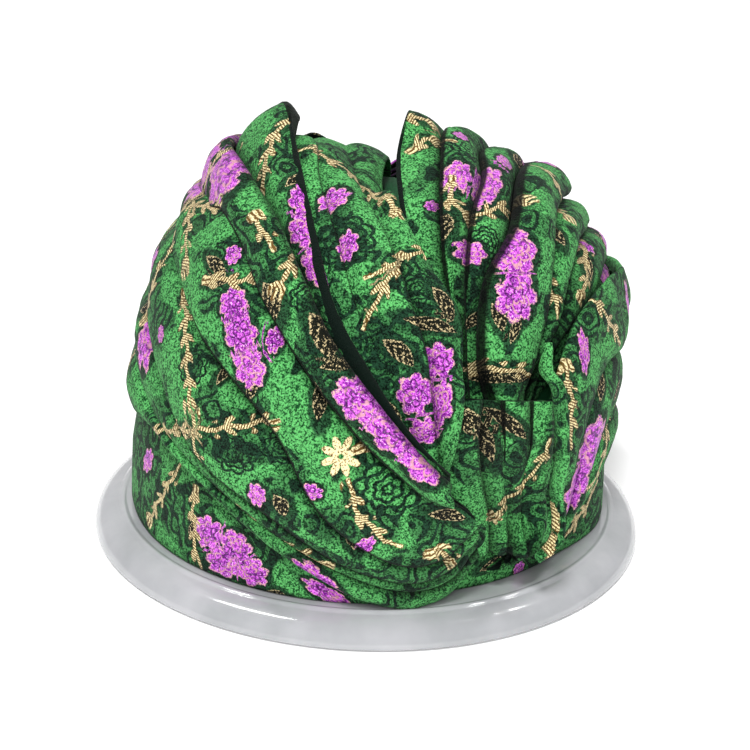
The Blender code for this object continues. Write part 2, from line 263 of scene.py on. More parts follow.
def smooth_step(tree, value, low, high):
    """0 below low, 1 above high; the other way round when low is above high."""
    node = add_node(tree, "ShaderNodeMapRange", interpolation_type="SMOOTHSTEP")
    ends = (high, low, 1.0, 0.0) if low > high else (low, high, 0.0, 1.0)
    for socket, number in zip(node.inputs[1:5], ends):
        socket.default_value = number
    tree.links.new(value, node.inputs["Value"])
    return node.outputs["Result"]


def mixed(tree, factor, first, second):
    """A colour between two colours, given as sockets or as numbers."""
    node = add_node(tree, "ShaderNodeMix", data_type="RGBA")
    tree.links.new(factor, node.inputs["Factor"])
    for name, value in (("A", first), ("B", second)):
        socket = [i for i in node.inputs if i.name == name and i.type == "RGBA"][0]
        if isinstance(value, tuple):
            socket.default_value = (*value, 1.0)
        else:
            tree.links.new(value, socket)
    return [o for o in node.outputs if o.type == "RGBA"][0]


def polar(tree, x, y):
    """The distance of a place from its middle, and its angle round that middle."""
    squares = [math_of(tree, "MULTIPLY", side, side) for side in (x, y)]
    return math_of(tree, "SQRT", math_of(tree, "ADD", *squares)), math_of(tree, "ARCTAN2", y, x)


def scallops(tree, angle, count, phase):
    """Round bulges about a centre: 0 between two of them, 1 at the top of each."""
    turned = math_of(tree, "MULTIPLY_ADD", angle, count / 2, phase)
    return math_of(tree, "ABSOLUTE", math_of(tree, "SINE", turned))


DEEP_GREEN, BRIGHT_GREEN = (0.0035, 0.042, 0.010), (0.105, 0.430, 0.120)
DARK_THREAD, DARK_THREAD_LIT = (0.0008, 0.004, 0.002), (0.010, 0.042, 0.020)
LEAF_BLACK, LEAF_BEIGE = (0.006, 0.007, 0.004), (0.62, 0.50, 0.27)
GOLD_SHADED, GOLD_LIT = (0.14, 0.070, 0.014), (1.0, 0.84, 0.46)
PURPLE_DEEP, PURPLE_LIT, PURPLE_GLINT = (0.19, 0.006, 0.26), (0.82, 0.17, 0.86), (0.95, 0.60, 0.95)
SEAM_DARK, SEAM_PALE, BORDER_PALE = (0.020, 0.001, 0.035), (0.72, 0.38, 0.36), (0.80, 0.47, 0.38)
PAINTED_FOLD_SHADE, WRONG_SIDE_SHADE = (0.0004, 0.001, 0.0006), (0.002, 0.006, 0.004)


def brocade_cloth():
    """Green crepe with tonal figures, lurex blossoms in purple and sprays in gold thread."""
    material, tree, shader = new_material("green_brocade_cloth", {
        "Sheen Weight": 0.02, "Sheen Roughness": 0.5, "Specular IOR Level": 0.16})

    def times(first, second):
        return math_of(tree, "MULTIPLY", first, second)

    def plus(first, second):
        return math_of(tree, "ADD", first, second)

    def less(first, second):
        return math_of(tree, "SUBTRACT", first, second)

    def size_of(value):
        return math_of(tree, "ABSOLUTE", value)

    def more_of(*values):
        most = values[0]
        for value in values[1:]:
            most = math_of(tree, "MAXIMUM", most, value)
        return most

    def step_at(value, low, high):
        return smooth_step(tree, value, low, high)

    def centred(scale, detail, span):
        """Noise spread about zero."""
        return math_of(tree, "MULTIPLY_ADD", noise(tree, scale, detail), span, -span / 2)

    leaf_x, leaf_y, leaf_near = vector_parts(tree, "leaf")
    run, off, vine_near = vector_parts(tree, "vine")
    star_x, star_y, star_near = vector_parts(tree, "star")
    blossom_x, blossom_y, blossom_near = vector_parts(tree, "blossom")
    ring_x, ring_y, ring_near = vector_parts(tree, "ring")
    close, bare, _ = vector_parts(tree, "field")
    wrong, shade, _ = vector_parts(tree, "wrong_side_and_shade")

    # crepe ground: fine bright and dark grains
    fine = noise(tree, 1500.0, 2.0, 0.6)
    crinkle = noise(tree, 640.0, 3.0, 0.65)
    fray = centred(900.0, 2.0, 0.3)
    grains = step_at(plus(times(crinkle, 0.35), times(fine, 0.65)), 0.41, 0.59)
    ground = mixed(tree, grains, DEEP_GREEN, BRIGHT_GREEN)

    # tonal figures in dark thread: curling lines in patches, dense ones about every other figure and
    # in the dense zones, which partly stand in for painted shade in the folds, and scalloped rings
    # where they lie free
    wander = centred(240.0, 2.0, 1.0)
    blotch = plus(noise(tree, 52.0, 1.0), times(wander, 0.10))
    blotch = plus(blotch, times(step_at(plus(close, times(wander, 0.5)), 1.3, 0.7), 0.30))
    blotch = less(blotch, times(step_at(plus(bare, times(wander, 0.5)), 1.3, 0.8), 0.35))
    curls = step_at(math_of(tree, "SINE", times(noise(tree, 80.0, 1.0), 46.0)), 0.0, 0.45)
    patches = times(step_at(blotch, 0.468, 0.525), plus(times(curls, 0.5), 0.5))
    patchy = step_at(noise(tree, 75.0, 1.0), 0.38, 0.48)
    beside_vine = times(step_at(plus(vine_near, times(wander, 4.0)), 3.6, 2.4), patchy)
    beside_leaf = step_at(plus(leaf_near, times(wander, 0.8)), 1.75, 1.35)
    beside_blossom = step_at(plus(blossom_near, times(wander, 0.35)), 1.32, 1.12)
    radius, angle = polar(tree, times(plus(ring_x, times(wander, 0.10)), 9.0), times(ring_y, 9.0))
    rings = []
    for size, depth, count, width in ((8.2, 1.5, 9, 0.55), (5.9, 1.1, 7, 0.5), (3.6, 0.9, 6, 0.45),
                                      (1.5, 0.5, 5, 0.4)):
        edge = math_of(tree, "MULTIPLY_ADD", scallops(tree, angle, count, size), depth, size - depth)
        rings.append(step_at(size_of(less(radius, edge)), width + 0.22, width - 0.12))
    rings = times(more_of(*rings), step_at(ring_near, 1.15, 1.05))
    dense_and_shaded_thread = times(step_at(plus(close, times(wander, 0.8)), 1.15, 0.75), 0.72)
    tonal = more_of(patches, dense_and_shaded_thread, times(beside_vine, 0.85), times(beside_leaf, 0.9),
                    times(beside_blossom, 0.95), rings)
    dark_thread = mixed(tree, grains, DARK_THREAD, DARK_THREAD_LIT)
    ground = mixed(tree, tonal, ground, dark_thread)

    # leaves: black, flecked with beige thread along the edges and veins
    bend = plus(leaf_y, times(times(leaf_x, leaf_x), 0.30))
    rim = plus(less(less(0.95, times(leaf_x, leaf_x)), size_of(bend)), fray)
    leaf = times(step_at(rim, 0.0, 0.12), step_at(leaf_near, 1.5, 1.3))
    veins = math_of(tree, "SINE", plus(times(leaf_x, 13.0), times(size_of(bend), -9.0)))
    flecks = plus(times(veins, 0.30), plus(times(step_at(rim, 0.30, 0.05), 0.45),
                                           math_of(tree, "MULTIPLY_ADD", fine, 4.0, -2.25)))
    leaf_gold = step_at(flecks, 0.0, 0.3)
    leaf_colour = mixed(tree, leaf_gold, LEAF_BLACK, LEAF_BEIGE)

    # sprays in gold thread: a wavy stem with pairs of small leaves, and eight-petalled stars
    stray = times(math_of(tree, "SINE", times(run, 0.50)), 0.55)
    off = plus(plus(off, stray), centred(500.0, 2.0, 1.4))
    stem = step_at(size_of(off), 0.90, 0.60)
    pair = less(math_of(tree, "WRAP", plus(run, centred(90.0, 1.0, 5.0)), 7.2, 0.0), 3.6)
    out = less(size_of(off), 1.7)
    long = plus(times(pair, 0.85), times(out, 0.52))
    wide = less(times(out, 0.85), times(pair, 0.52))
    oval, _ = polar(tree, math_of(tree, "DIVIDE", long, 2.5), wide)
    sprig = times(step_at(oval, 1.1, 0.85), step_at(noise(tree, 130.0, 1.0), 0.40, 0.46))
    vine = times(more_of(stem, sprig), step_at(vine_near, 4.2, 3.4))
    radius, angle = polar(tree, star_x, star_y)
    edge = math_of(tree, "MULTIPLY_ADD", scallops(tree, angle, 8, 0.0), 0.50, 0.42)
    star = step_at(plus(less(edge, radius), times(fray, 0.6)), 0.0, 0.08)
    star = times(times(star, step_at(star_near, 1.4, 1.2)), step_at(radius, 0.08, 0.16))
    gold = more_of(vine, star)
    # painted light and shade on the gold: lit on each stitch, shaded dark brown in the gaps between
    # stitches and in fine specks
    stitches = step_at(math_of(tree, "SINE", plus(times(run, 6.0), times(off, 3.5))), -0.75, 0.1)
    stitches = more_of(stitches, step_at(vine_near, 3.6, 4.4))
    lit = times(stitches, step_at(fine, 0.36, 0.52))
    gold_colour = mixed(tree, lit, GOLD_SHADED, GOLD_LIT)

    # blossoms in purple lurex, with petals outlined in dark and in pale gold thread
    push = centred(230.0, 2.0, 0.5)
    radius, angle = polar(tree, plus(blossom_x, push), plus(blossom_y, push))
    edge = math_of(tree, "MULTIPLY_ADD", scallops(tree, angle, 7, 0.3), 0.26, 0.76)
    inside = plus(less(edge, radius), times(fray, 0.8))
    blossom = times(step_at(inside, -0.02, 0.04), step_at(blossom_near, 1.6, 1.4))
    border = step_at(size_of(less(inside, 0.05)), 0.10, 0.03)
    petals = []
    for size, depth, count, phase in ((0.62, 0.24, 6, 1.1), (0.33, 0.15, 5, 0.2)):
        ring = math_of(tree, "MULTIPLY_ADD", scallops(tree, angle, count, phase), depth, size - depth)
        petals.append(step_at(size_of(less(radius, ring)), 0.075, 0.03))
    # painted highlights: the lurex's sparkle as lit and deep purple by fine noise, with pale glints
    # in specks
    painted_sparkle = step_at(plus(times(fine, 0.6), times(crinkle, 0.4)), 0.42, 0.60)
    purple = mixed(tree, painted_sparkle, PURPLE_DEEP, PURPLE_LIT)
    purple = mixed(tree, step_at(noise(tree, 1700.0, 1.0), 0.63, 0.70), purple, PURPLE_GLINT)
    pale = step_at(noise(tree, 190.0, 1.0), 0.44, 0.54)
    seam = mixed(tree, pale, SEAM_DARK, SEAM_PALE)
    purple = mixed(tree, times(more_of(*petals), 0.75), purple, seam)
    purple = mixed(tree, times(times(border, step_at(fine, 0.40, 0.55)), 0.9), purple, BORDER_PALE)

    # the threads over each other, then painted shade in the folds and over the wrong side
    colour = mixed(tree, leaf, ground, leaf_colour)
    colour = mixed(tree, blossom, colour, purple)
    colour = mixed(tree, gold, colour, gold_colour)
    # painted shade: darker in the folds and tucks, and over turned bands
    colour = mixed(tree, times(shade, 0.96), colour, PAINTED_FOLD_SHADE)
    # painted shade: the wrong side near black
    colour = mixed(tree, wrong, colour, WRONG_SIDE_SHADE)
    tree.links.new(colour, shader.inputs["Base Color"])

    # only the metallic threads shine, and less where shade is painted in the folds or on the wrong
    # side
    shine = more_of(blossom, gold, times(leaf, leaf_gold))
    shine = times(times(shine, less(1.0, wrong)), less(1.0, times(shade, 0.9)))
    tree.links.new(times(shine, 0.25), shader.inputs["Metallic"])
    tree.links.new(math_of(tree, "MULTIPLY_ADD", shine, -0.36, 0.78), shader.inputs["Roughness"])

    # the relief of the embroidery and of the crepe's grain
    raised = plus(times(blossom, 0.6), times(times(gold, stitches), 0.7))
    raised = plus(raised, times(leaf, plus(times(leaf_gold, 0.3), 0.2)))
    raised = plus(raised, times(tonal, 0.22))
    raised = less(raised, times(times(more_of(*petals), blossom), 0.35))
    raised = plus(raised, times(crinkle, 0.8))
    raised = plus(raised, times(fine, 0.7))
    roughened(tree, shader, raised, 0.9, 0.6)
    return material


brocade = brocade_cloth()

# The distance that stands for no figure near a point
EMPTY = 9.0

# A spray in gold thread follows its points of turn and climb, on one pleat or across them all
Spray = namedtuple("Spray", "points pleat", defaults=[None])


def figure_layer(way, bands, figures):
    """Each point's place in the figure nearest to it, in shares of its half width and height.

    A figure is the turn and climb of its middle, its width and height in mm at a reach of 100 mm,
    and its tilt, then the number of its pleat where it keeps to one.
    """
    found = np.full(way.shape, EMPTY)
    for turn, climb, width, height, tilt, *pleat in figures:
        middle = ways(turn, climb)
        turn, climb, tilt = map(math.radians, (turn, climb, tilt))
        over = np.array([math.cos(turn), math.sin(turn), 0.0])
        up = np.array([-math.sin(turn) * math.sin(climb), math.cos(turn) * math.sin(climb),
                       math.cos(climb)])
        x, y = way @ over * 100, way @ up * 100
        x, y = (x * math.cos(tilt) + y * math.sin(tilt), y * math.cos(tilt) - x * math.sin(tilt))
        x, y = x / (width / 2), y / (height / 2)
        near = np.hypot(x, y)
        near[way @ middle < 0.5] = EMPTY
        if pleat:
            near[:, bands != pleat[0]] = EMPTY
        closer = near < found[..., 2]
        found[closer] = np.stack([x, y, near], -1)[closer]
    return found


def smooth_line(stations, shares):
    """Points at shares of the length of a smooth curve through the stations."""
    knots = np.array([ways(turn, climb) * reach for turn, climb, reach in stations])
    knots = np.concatenate([[2 * knots[0] - knots[1]], knots, [2 * knots[-1] - knots[-2]]])
    t = np.linspace(0, 1, 24, endpoint=False)[:, None]
    fine = []
    for before, start, end, after in zip(knots, knots[1:], knots[2:], knots[3:]):
        fine.append(0.5 * (2 * start + (end - before) * t
                           + (2 * before - 5 * start + 4 * end - after) * t ** 2
                           + (3 * start - before - 3 * end + after) * t ** 3))
    fine = np.concatenate(fine + [knots[-2:-1]])
    run = np.concatenate([[0], np.cumsum(lengths(np.diff(fine, axis=0)))])
    return np.stack([np.interp(shares * run[-1], run, fine[:, axis]) for axis in range(3)], -1)


def spray_layer(way, bands, sprays):
    """Each point's place along the nearest spray and beside it, in mm."""
    found = np.full(way.shape, EMPTY)
    point = way * 100
    stagger = 2.3
    for number, spray in enumerate(sprays):
        line = smooth_line([(turn, climb, 100) for turn, climb in spray.points],
                           np.linspace(0, 1, 8 * len(spray.points)))
        run = number * stagger
        for start, end in zip(line[:-1], line[1:]):
            length = np.linalg.norm(end - start)
            ahead = (end - start) / length
            beside = np.cross(ahead, start / 100)
            t = np.clip((point - start) @ ahead, 0, length)
            apart = point - start - t[..., None] * ahead
            near = lengths(apart)
            if spray.pleat is not None:
                near[:, bands != spray.pleat] = EMPTY
            closer = near < found[..., 2]
            found[closer] = np.stack([run + t, apart @ beside, near], -1)[closer]
            run += length
    return found


def woven_values(way, bands, blossoms=(), leaves=(), stars=(), sprays=(), rings=(),
                 close=(), bare=()):
    """What each point of a piece of cloth holds for the drawing of its figures."""
    # the dense zones draw dark thread figures thickly and also stand in for painted shade in the
    # folds
    field = np.zeros(way.shape)
    field[..., 0] = figure_layer(way, bands, close)[..., 2]
    field[..., 1] = figure_layer(way, bands, bare)[..., 2]
    return {
        "field": field,
        "blossom": figure_layer(way, bands, blossoms),
        "leaf": figure_layer(way, bands, leaves),
        "star": figure_layer(way, bands, stars),
        "ring": figure_layer(way, bands, rings),
        "vine": spray_layer(way, bands, sprays),
    }


HEM_BLOSSOMS = [
    (-38, -19, 15, 13, 20), (-30, -20, 15, 13, -10), (-33, -24, 17, 11, 5),
    (-26, -24, 15, 11, -10), (-8, -26, 20, 6, -25), (-64, -12, 12, 9, 60), (41, -28, 6, 5, 0),
    (24, -24, 6, 4, 40), (52, -18, 5, 4, 0),
]
HEM_BLOSSOMS += [(turn, -16, 30, 24, 15) for turn in range(104, 262, 38)]
HEM_LEAVES = [
    (-43, -20, 9, 4, 70), (-19, -28, 10, 5, -20), (33, -25, 14, 4, 12),
]
HEM_SPRAYS = [
    Spray([(-50, -9), (-53, -14), (-56, -18), (-61, -24)]),
    Spray([(-43, -12), (-42, -22), (-40, -28)]),
    Spray([(56, -20), (50, -23), (44, -24), (38, -25)]),
    Spray([(72, -18), (66, -22), (60, -25)]),
]
HEM_SPRAYS += [Spray([(turn, -26), (turn + 8, -14), (turn + 4, -4)])
               for turn in range(110, 300, 38)]
# The band's radius and height, from its lower edge up
HEM_PROFILE = [(92.9, 11.5), (93.5, 14.0), (93.3, 24), (92.9, 35.5), (91.0, 48), (88.9, 59.5)]
HEM_WALL = 1.2


def hem_dent(angle, heights):
    """How far the band gives way, in mm, where the folds gather at the lower right."""
    turn = np.degrees(angle)
    deepest = 6.2

    def ramp(value, low, high):
        t = np.clip((value - low) / (high - low), 0, 1)
        return t * t * (3 - 2 * t)

    side = ramp(turn, 8, 24) * (1 - ramp(turn, 52, 80))
    return deepest * side * (1 - ramp(heights[:, None], 40, 62))


def cloth_sheet(name, surface, wall, values, shades=None):
    """A closed sheet of brocade from a grid of points along the middle of its wall."""
    rows, columns = surface.shape[:2]
    down = np.gradient(surface, axis=0)
    over = np.gradient(surface, axis=1)
    face_on = np.cross(over, down)
    face_on /= np.maximum(lengths(face_on), 1e-9)[..., None]
    if np.mean(np.sum(face_on * surface, axis=-1)) < 0:
        face_on = -face_on
    outer = (surface + face_on * wall / 2).reshape(-1, 3)
    inner = (surface - face_on * wall / 2).reshape(-1, 3)
    shift = rows * columns
    faces = grid_faces(rows, columns)
    border = np.concatenate([np.arange(columns), np.arange(1, rows) * columns + columns - 1,
                             (rows - 1) * columns + np.arange(columns - 2, -1, -1),
                             np.arange(rows - 2, 0, -1) * columns])
    after = np.roll(border, -1)
    rim = np.stack([after, border, border + shift, after + shift], -1)
    everything = np.concatenate([faces, faces[:, ::-1] + shift, rim])
    first = faces[len(faces) // 2]
    across = np.cross(outer[first[1]] - outer[first[0]], outer[first[3]] - outer[first[0]])
    if np.dot(across, face_on.reshape(-1, 3)[first[0]]) < 0:
        everything = everything[:, ::-1]
    held = {key: np.concatenate([value.reshape(-1, 3)] * 2) for key, value in values.items()}
    # the first part marks the wrong side, the second carries the painted shade
    held["wrong_side_and_shade"] = np.zeros((2 * shift, 3))
    held["wrong_side_and_shade"][shift:, 0] = 1.0
    if shades is not None:
        held["wrong_side_and_shade"][:, 1] = np.tile(shades.ravel(), 2)
    return mesh_object(name, np.concatenate([outer, inner]), everything, brocade, held)


def hem_cloth():
    cloth_depth, mean_radius = 50, 93
    lowest, highest = 11.9, 59.0
    rows = int(math.ceil(cloth_depth / CELL))
    sides = int(math.ceil(2 * math.pi * mean_radius / CELL)) + 1
    heights = np.linspace(lowest, highest, rows)
    profile_radii, profile_heights = zip(*HEM_PROFILE)
    radii = np.interp(heights, profile_heights, profile_radii) - HEM_WALL / 2
    angle = np.linspace(-math.pi, math.pi, sides)
    radii = radii[:, None] - hem_dent(angle, heights)
    surface = np.stack([radii * np.sin(angle), -radii * np.cos(angle),
                        np.repeat(heights[:, None] - HEAD[2], sides, 1)], -1)
    just_outside = 1.003
    add_to_cover(surface * just_outside)
    surface = surface[:, ::-1]
    way = surface / lengths(surface)[..., None]
    values = woven_values(way, np.zeros(sides, dtype=int), blossoms=HEM_BLOSSOMS,
                          leaves=HEM_LEAVES, sprays=HEM_SPRAYS)
    return cloth_sheet("hem_band_cloth", surface, HEM_WALL, values)


hem = hem_cloth()
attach(hem, "root")
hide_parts("hem_band")

# The right wing: the fan of pleats of the right lobe, in the same brocade. It is gathered behind
# the crown, and its front end is tucked in beside the centre panel. The first pleat is turned over
# into a rolled edge along the notch.

# A fold's line runs through its stations of turn, climb and reach. Its steps, read along the line,
# say how far the pleat after it lies over the pleat before it, or beneath it where they are below
# 0. Its swell, in mm, is how far the pleat after it rounds up.
Fold = namedtuple("Fold", "steps stations swell", defaults=[(2.2, 2.2)])
# In mm: the height of one step, and how far a fold is tucked in beneath its neighbour
STEP_HEIGHT, TUCK = 1.5, 8.0
# In mm: the depth of the hem along an edge, and the radius that the cloth is turned over with
EDGE_HEM, HEM_ROUND = 5.0, 0.8
# In mm: the thickness of a drape, and what it stays clear of the cloth beneath by
DRAPE_WALL, CLEARANCE = 1.0, 1.0
# In mm: the height of the broad creases and of the fine ones
CREASES, FINE_CREASES = 0.8, 0.25


def along(values, shares):
    """Values spaced evenly along a line, read at shares of its length."""
    return np.interp(shares, np.linspace(0, 1, len(values)), values)


def folded_cloth(folds, shares, turned, last_hem):
    """Pleated cloth: the direction, reach, place across and shade of each point of a grid, and
    the band between two folds that each column belongs to."""
    lines = np.array([smooth_line(fold.stations, shares) for fold in folds])
    count, rows = lines.shape[:2]
    reach = lengths(lines)
    widths = np.maximum(lengths(lines[1:] - lines[:-1]), 2.0)
    step = np.array([along(fold.steps, shares) for fold in folds]) * STEP_HEIGHT
    tuck = np.array([TUCK * np.tanh(row / STEP_HEIGHT) for row in step])
    swell = np.array([along(fold.swell, shares) for fold in folds])

    def beside(fold, distance):
        """How far a fold raises or sinks the cloth at a distance from its line, in mm."""
        fade_above, fade_below, fade_crease = 15, 8, 3
        crease_depth, crease_share = -5, 0.35
        upper = fold / 2 * np.exp(-distance / fade_above)
        crease = np.maximum(fold, crease_depth) * crease_share * np.exp(-distance / fade_crease)
        lower = fold / 2 * np.exp(-distance / fade_below) + crease
        return np.where(fold > 0, upper, lower)

    def height(band, g):
        """How high the cloth of a band lies at a place across, in mm."""
        p = np.clip(g - band, 0, 1)
        near, far = widths[band] * p, widths[band] * (1 - p)
        return (beside(-step[band], near) + beside(step[band + 1], far)
                + swell[band] * 4 * p * (1 - p))

    places, heights, bands, shades = [], [], [], []

    def add(g, h, band, shade=0.0):
        """Adds a column of points at a place across, at a height, with its shade."""
        places.append(np.broadcast_to(g, (rows,)).copy())
        heights.append(np.broadcast_to(h, (rows,)).copy())
        shades.append(np.broadcast_to(shade, (rows,)).copy())
        bands.append(band)

    def shade_at(band, g):
        """How much shade is painted on the cloth where a fold beside it keeps the light off."""
        if band in turned:
            return 1.0
        near, far = (g - band) * widths[band], (band + 1 - g) * widths[band]
        full_step, fade, gain, threshold = 4, 3.4, 1.8, 0.08
        kept = np.clip(step[band] / full_step, 0, 1) * np.exp(-np.maximum(near, 0) / fade)
        kept = kept + np.clip(-step[band + 1] / full_step, 0, 1) * np.exp(-np.maximum(far, 0) / fade)
        return np.clip(gain * kept - threshold, 0, 1)

    last = count - 2
    foot = height(0, 0) - HEM_ROUND
    for q in np.linspace(1, 0.25, 4):
        add(EDGE_HEM * q / widths[0], height(0, 0) - 2 * HEM_ROUND, 0)
    for angle in np.radians([150, 115, 80, 45, 15]):
        add(-HEM_ROUND * math.sin(angle) / widths[0], foot + HEM_ROUND * math.cos(angle), 0)
    for band in range(last + 1):
        start = band - (np.maximum(tuck[band], 0) / widths[band - 1] if band else 0)
        end = band + 1 + (np.maximum(-tuck[band + 1], 0) / widths[band + 1] if band < last else 0)
        cells = max(6, int(math.ceil(np.percentile(widths[band], 75) / CELL)))
        for q in np.linspace(0, 1, cells + 1):
            g = start + (end - start) * q
            add(g, height(band, g), band, shade_at(band, g))
        if band == last:
            continue
        fold = step[band + 1]
        ends = height(band, band + 1), height(band + 1, band + 1)
        round_off = np.abs(ends[0] - ends[1]) / 4
        back = band + 1 - np.maximum(tuck[band + 1], 0) / widths[band]
        # the turned edge and the tuck beneath it are painted in shade
        for angle in np.radians([30, 60, 90, 120, 150, 180]):
            part = (1 - math.cos(angle)) / 4
            add(end + round_off * math.sin(angle) / widths[band + 1],
                ends[0] + (ends[1] - ends[0]) * part, band, 0.5 + part)
        for q in (0.33, 0.67):
            add(end + (back - end) * q, (ends[0] + ends[1]) / 2, band, 1)
        for angle in np.radians([0, 30, 60, 90, 120, 150]):
            part = 0.5 + (1 - math.cos(angle)) / 4
            add(back - round_off * math.sin(angle) / widths[band],
                ends[0] + (ends[1] - ends[0]) * part, band + 1, 1)
    if last_hem:
        top = height(last, last + 1)
        for angle in np.radians([15, 45, 80, 115, 150]):
            add(last + 1 + HEM_ROUND * math.sin(angle) / widths[last],
                top - HEM_ROUND + HEM_ROUND * math.cos(angle), last)
        for q in np.linspace(0.25, 1, 4):
            add(last + 1 - EDGE_HEM * q / widths[last], top - 2 * HEM_ROUND, last)
    places = np.array(places).T
    heights = np.array(heights).T
    shades = np.array(shades).T
    bands = np.array(bands)

    near = np.clip(np.floor(places).astype(int), 0, count - 2)
    part = places - near
    row = np.arange(rows)[:, None]
    a, b = lines[near, row], lines[near + 1, row]
    point = a + (b - a) * part[..., None]
    way = point / lengths(point)[..., None]
    far = reach[near, row] * (1 - part) + reach[near + 1, row] * part + heights
    return way, far, places, bands, shades


def widened(grid, cells=1):
    """Each cell takes the highest value of its neighbours."""
    for _ in range(cells):
        padded = np.pad(grid, 1, mode="edge")
        grid = np.max([padded[1 + a:padded.shape[0] - 1 + a, 1 + b:padded.shape[1] - 1 + b]
                       for a in (-1, 0, 1) for b in (-1, 0, 1)], axis=0)
    return grid


def softened(grid, cells):
    """Each cell is evened out with its neighbours."""
    for _ in range(cells):
        padded = np.pad(grid, 1, mode="edge")
        grid = (padded[:-2, 1:-1] + padded[2:, 1:-1] + 2 * grid) / 4
        padded = np.pad(grid, 1, mode="edge")
        grid = (padded[1:-1, :-2] + padded[1:-1, 2:] + 2 * grid) / 4
    return grid


def cover_under(points):
    """How far the pieces laid so far reach beneath points."""
    x, y = on_map(points)
    high = widened(cover)
    low_x = np.clip(np.floor(x).astype(int), 0, MAP_CELLS - 2)
    low_y = np.clip(np.floor(y).astype(int), 0, MAP_CELLS - 2)
    px, py = x - low_x, y - low_y
    return ((high[low_x, low_y] * (1 - px) + high[low_x + 1, low_y] * px) * (1 - py)
            + (high[low_x, low_y + 1] * (1 - px) + high[low_x + 1, low_y + 1] * px) * py)


def lifted(way, far, places):
    """Raises the cloth, all its layers together, where it would sink into the pieces beneath."""
    short = np.maximum(cover_under(way) + CLEARANCE - far, 0)
    bins_to_band = 6
    bins = np.rint(places * bins_to_band).astype(int)
    low = bins.min()
    bins -= low
    lift = np.zeros((way.shape[0], bins.max() + 1))
    np.maximum.at(lift, (np.arange(way.shape[0])[:, None], bins), short)
    lift = softened(widened(lift), 2)
    spot = np.clip(places * bins_to_band - low, 0, lift.shape[1] - 1)
    under = np.clip(np.floor(spot).astype(int), 0, max(lift.shape[1] - 2, 0))
    share = spot - under
    row = np.arange(way.shape[0])[:, None]
    return far + np.maximum(lift[row, under] * (1 - share) + lift[row, under + 1] * share, short)


def shares_of(length, fine_from=0.0, coarse=2.2):
    """Shares along a line, spaced finely after fine_from and further apart before it."""
    back = int(math.ceil(length * fine_from / (CELL * coarse)))
    front = int(math.ceil(length * (1 - fine_from) / CELL))
    if not back:
        return np.linspace(0, 1, front + 1)
    return np.concatenate([np.linspace(0, fine_from, back, endpoint=False),
                           np.linspace(fine_from, 1, front + 1)])


def waves(u, v, seed, long, wide):
    """Smooth noise from -1 to 1 over the cloth, drawn out along its length."""
    random = np.random.RandomState(seed)
    total = np.zeros_like(u)
    size = 97
    for octave in range(3):
        table = random.uniform(-1, 1, (size, size))
        x = u / long * 2 ** octave + octave * 17.3 + 40
        y = v / wide * 2 ** octave + octave * 9.1 + 40
        ix, iy = np.floor(x).astype(int), np.floor(y).astype(int)
        px, py = x - ix, y - iy
        px, py = px * px * (3 - 2 * px), py * py * (3 - 2 * py)
        corner = [table[(ix + a) % size, (iy + b) % size] for a in (0, 1) for b in (0, 1)]
        total += ((corner[0] * (1 - px) + corner[2] * px) * (1 - py)
                  + (corner[1] * (1 - px) + corner[3] * px) * py) / 2 ** octave
    return total / 1.5


def drape(name, folds, shares, seed, figures, turned=(), last_hem=True):
    """Pleated cloth laid over what is there already; turned bands are painted in full shade."""
    way, far, places, bands, shades = folded_cloth(folds, shares, turned, last_hem)
    base = way * far[..., None]
    run = np.concatenate([np.zeros((1, base.shape[1])),
                          np.cumsum(lengths(np.diff(base, axis=0)), axis=0)])
    across = np.concatenate([np.zeros((base.shape[0], 1)),
                             np.cumsum(lengths(np.diff(base, axis=1)), axis=1)], axis=1)
    far = (far + waves(run, across, seed, long=46.0, wide=11.0) * CREASES
           + waves(run, across, seed + 50, long=14.0, wide=9.0) * FINE_CREASES)
    far = lifted(way, far, places)
    surface = way * far[..., None]
    thing = cloth_sheet(name, surface, DRAPE_WALL, woven_values(way, bands, **figures), shades)
    add_to_cover(surface + way * (DRAPE_WALL / 2))
    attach(thing, "root")
    return thing


def scattered(turns, climbs, seed):
    """Blossoms with sprays between them, over the cloth that the picture doesn't show."""
    random = np.random.RandomState(seed)
    blossoms, leaves, sprays = [], [], []
    for line, climb in enumerate(climbs):
        for turn in turns:
            turn = turn + 9 * (line % 2) + random.uniform(-3, 3)
            height = climb + random.uniform(-2, 2)
            size = random.uniform(0.7, 1.1)
            tilt = random.uniform(-30, 30)
            blossoms.append((turn, height, 26 * size, 22 * size, tilt))
            leaves.append((turn + 7, height - 7, 15, 7, tilt + 40))
            leaves.append((turn - 8, height + 6, 14, 6, tilt - 50))
            sprays.append(Spray([(turn + 10, height - 9), (turn + 13, height),
                                 (turn + 10, height + 9)]))
    return dict(blossoms=blossoms, leaves=leaves, sprays=sprays)


def with_more(figures, more):
    """Two sets of figures joined into one."""
    return {key: list(figures.get(key, [])) + list(more.get(key, []))
            for key in ("blossoms", "leaves", "stars", "sprays", "rings", "close", "bare")}


